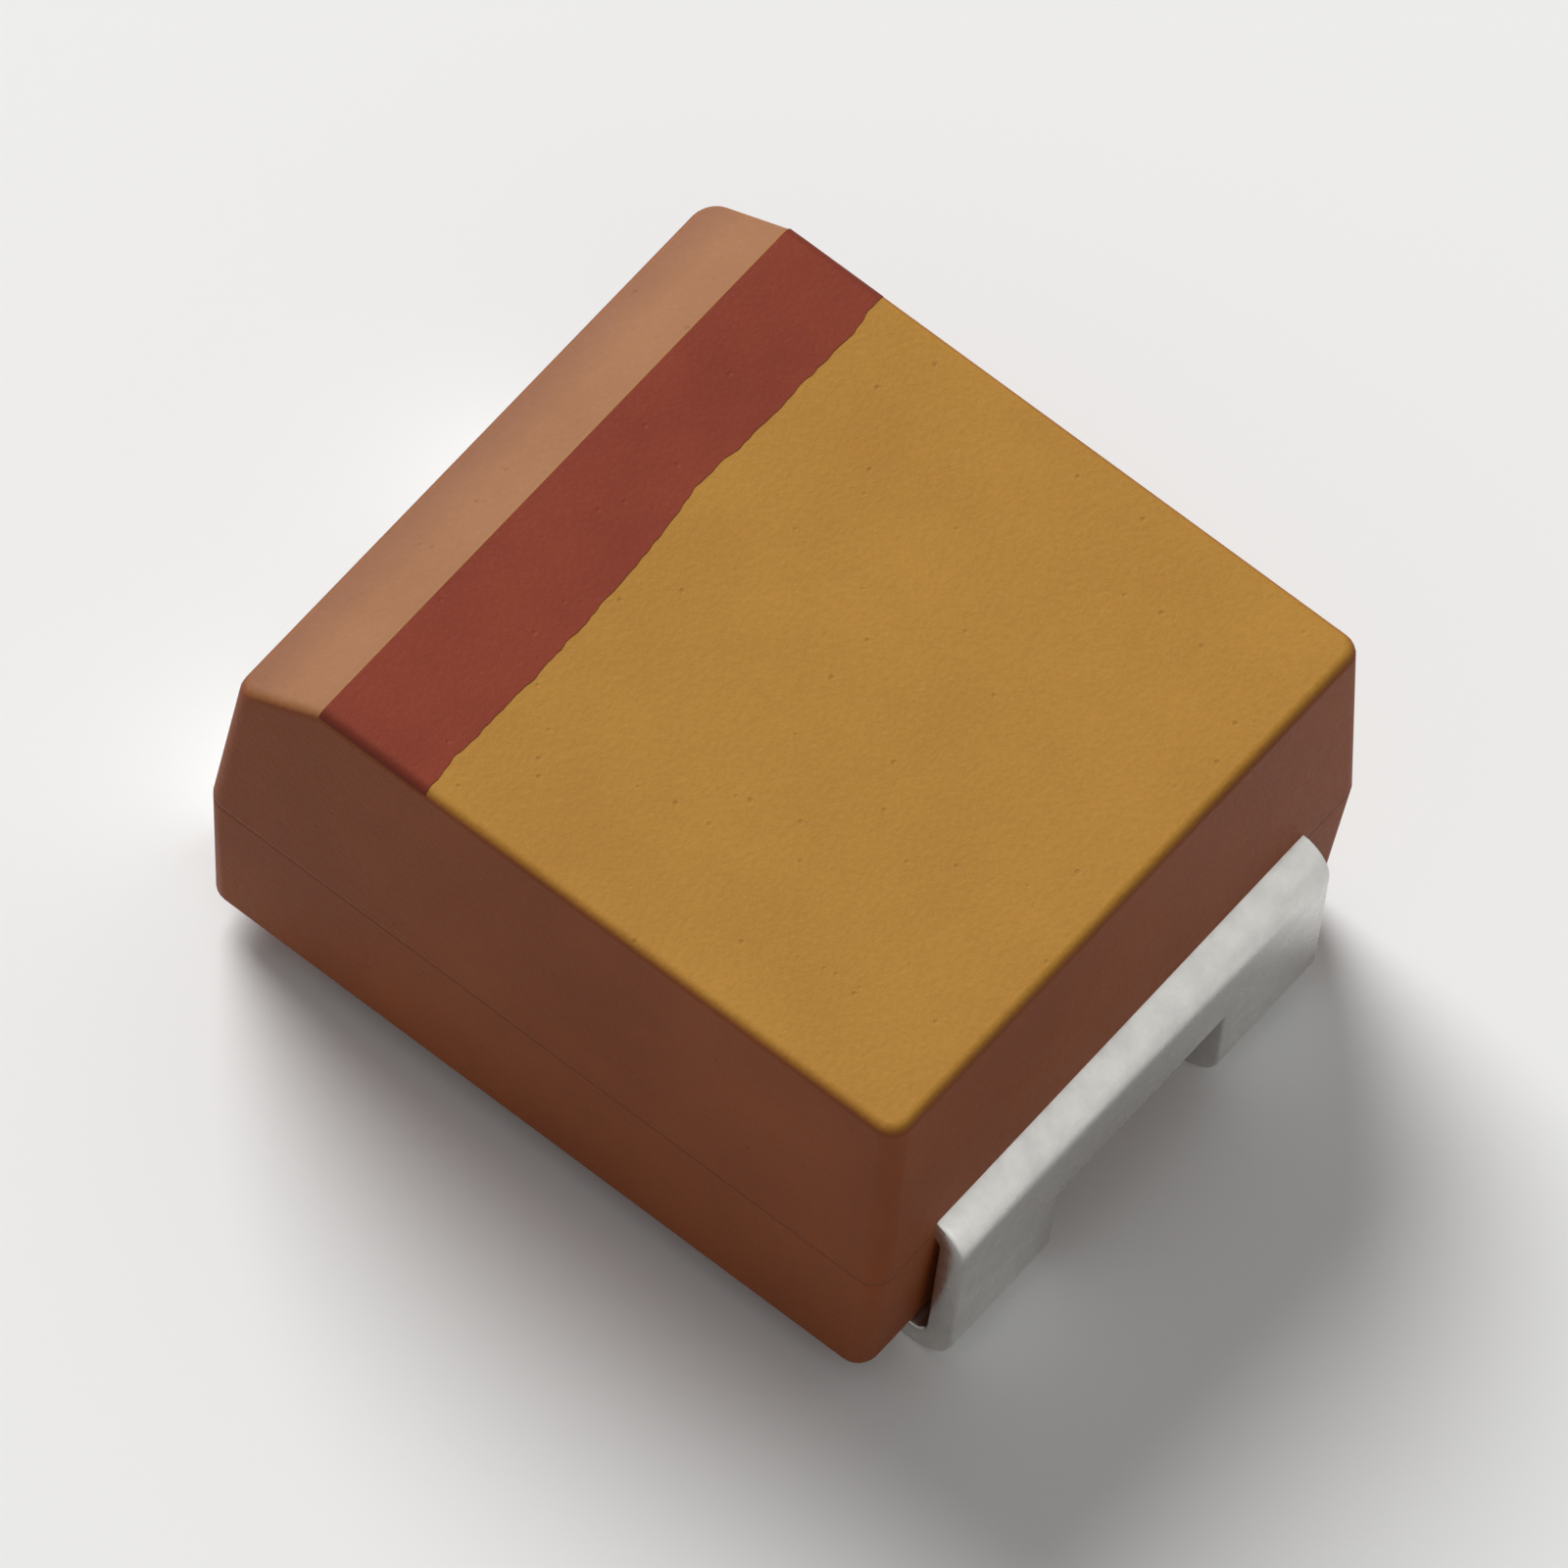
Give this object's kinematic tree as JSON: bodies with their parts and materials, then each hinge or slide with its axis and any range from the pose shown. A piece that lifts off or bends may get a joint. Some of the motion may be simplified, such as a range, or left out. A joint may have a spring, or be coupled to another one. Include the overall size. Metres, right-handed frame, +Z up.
{
  "type": "tantalum capacitor",
  "caption": "Moulded surface-mount tantalum chip capacitor with a bevelled, banded anode end and two folded terminals.",
  "frame": {"origin": "middle of the footprint, on the plane that the two feet stand on", "axes": "+X from the anode end to the cathode end, +Z up out of the top face, +Y across the width"},
  "size_m": [0.0036, 0.0028, 0.0019],
  "materials": {
    "epoxy": "moulded, fine matte",
    "band_mark": "printed, matte",
    "tin_plate_anode": "satin tin plate",
    "tin_plate_cathode": "satin tin plate",
    "sintered_tantalum": "sintered, porous",
    "tantalum_wire": "drawn",
    "white_polymer": "smooth",
    "manganese_dioxide": "crystalline, dull",
    "graphite": "dull coat",
    "silver_paint": "matte silver coat",
    "silver_epoxy": "cured conductive adhesive"
  },
  "bodies": {
    "root": {"moulded_case": "epoxy", "polarity_band": "band_mark", "anode_terminal": "tin_plate_anode", "cathode_terminal": "tin_plate_cathode", "tantalum_pellet": "sintered_tantalum", "anode_wire": "tantalum_wire", "wire_washer": "white_polymer", "manganese_coat": "manganese_dioxide", "graphite_coat": "graphite", "silver_coat": "silver_paint", "silver_adhesive": "silver_epoxy"}
  },
  "joints": []
}
